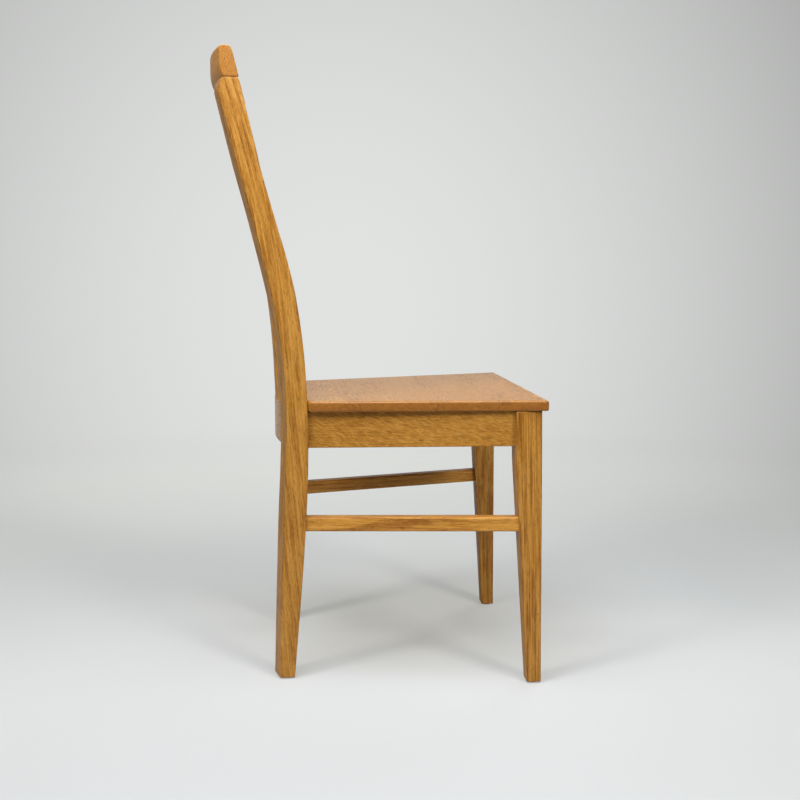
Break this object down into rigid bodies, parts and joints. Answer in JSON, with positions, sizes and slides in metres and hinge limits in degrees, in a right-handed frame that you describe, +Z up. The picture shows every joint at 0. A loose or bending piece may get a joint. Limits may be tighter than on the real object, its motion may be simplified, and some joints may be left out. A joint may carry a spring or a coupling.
{
  "type": "wooden dining chair",
  "caption": "Wooden dining chair with a flat wedge-shaped seat, tapered front legs, curved rear posts, side stretchers and a curved crest rail over upright back slats",
  "frame": {"origin": "on the floor, below the middle of the bounding box", "axes": "+Z up; the chair faces -Y, so the sitter looks along -Y; +X is the sitter's left"},
  "size_m": [0.4648, 0.5158, 0.9834],
  "materials": {
    "oiled_oak": "oiled or satin-lacquered oak, warm honey brown",
    "plain_beech": "plain planed hardwood, hidden under the seat",
    "zinc_steel": "zinc-plated steel screws",
    "dark_nylon": "dark nylon glides"
  },
  "bodies": {
    "root": {"back_slat_1": "oiled_oak", "back_slat_2": "oiled_oak", "back_slat_3": "oiled_oak", "back_slat_4": "oiled_oak", "back_slat_5": "oiled_oak", "block_screw_front_left": "zinc_steel", "block_screw_front_right": "zinc_steel", "block_screw_rear_left": "zinc_steel", "block_screw_rear_right": "zinc_steel", "corner_block_front_left": "plain_beech", "corner_block_front_right": "plain_beech", "corner_block_rear_left": "plain_beech", "corner_block_rear_right": "plain_beech", "crest_rail": "oiled_oak", "foot_glide_front_left": "dark_nylon", "foot_glide_front_right": "dark_nylon", "foot_glide_rear_left": "dark_nylon", "foot_glide_rear_right": "dark_nylon", "front_leg_left": "oiled_oak", "front_leg_right": "oiled_oak", "front_rail": "oiled_oak", "rear_post_left": "oiled_oak", "rear_post_right": "oiled_oak", "rear_rail": "oiled_oak", "seat_panel": "oiled_oak", "seat_screw_front_left": "zinc_steel", "seat_screw_front_right": "zinc_steel", "seat_screw_rear_left": "zinc_steel", "seat_screw_rear_right": "zinc_steel", "side_rail_left": "oiled_oak", "side_rail_right": "oiled_oak", "side_stretcher_left": "oiled_oak", "side_stretcher_right": "oiled_oak"}
  },
  "joints": []
}
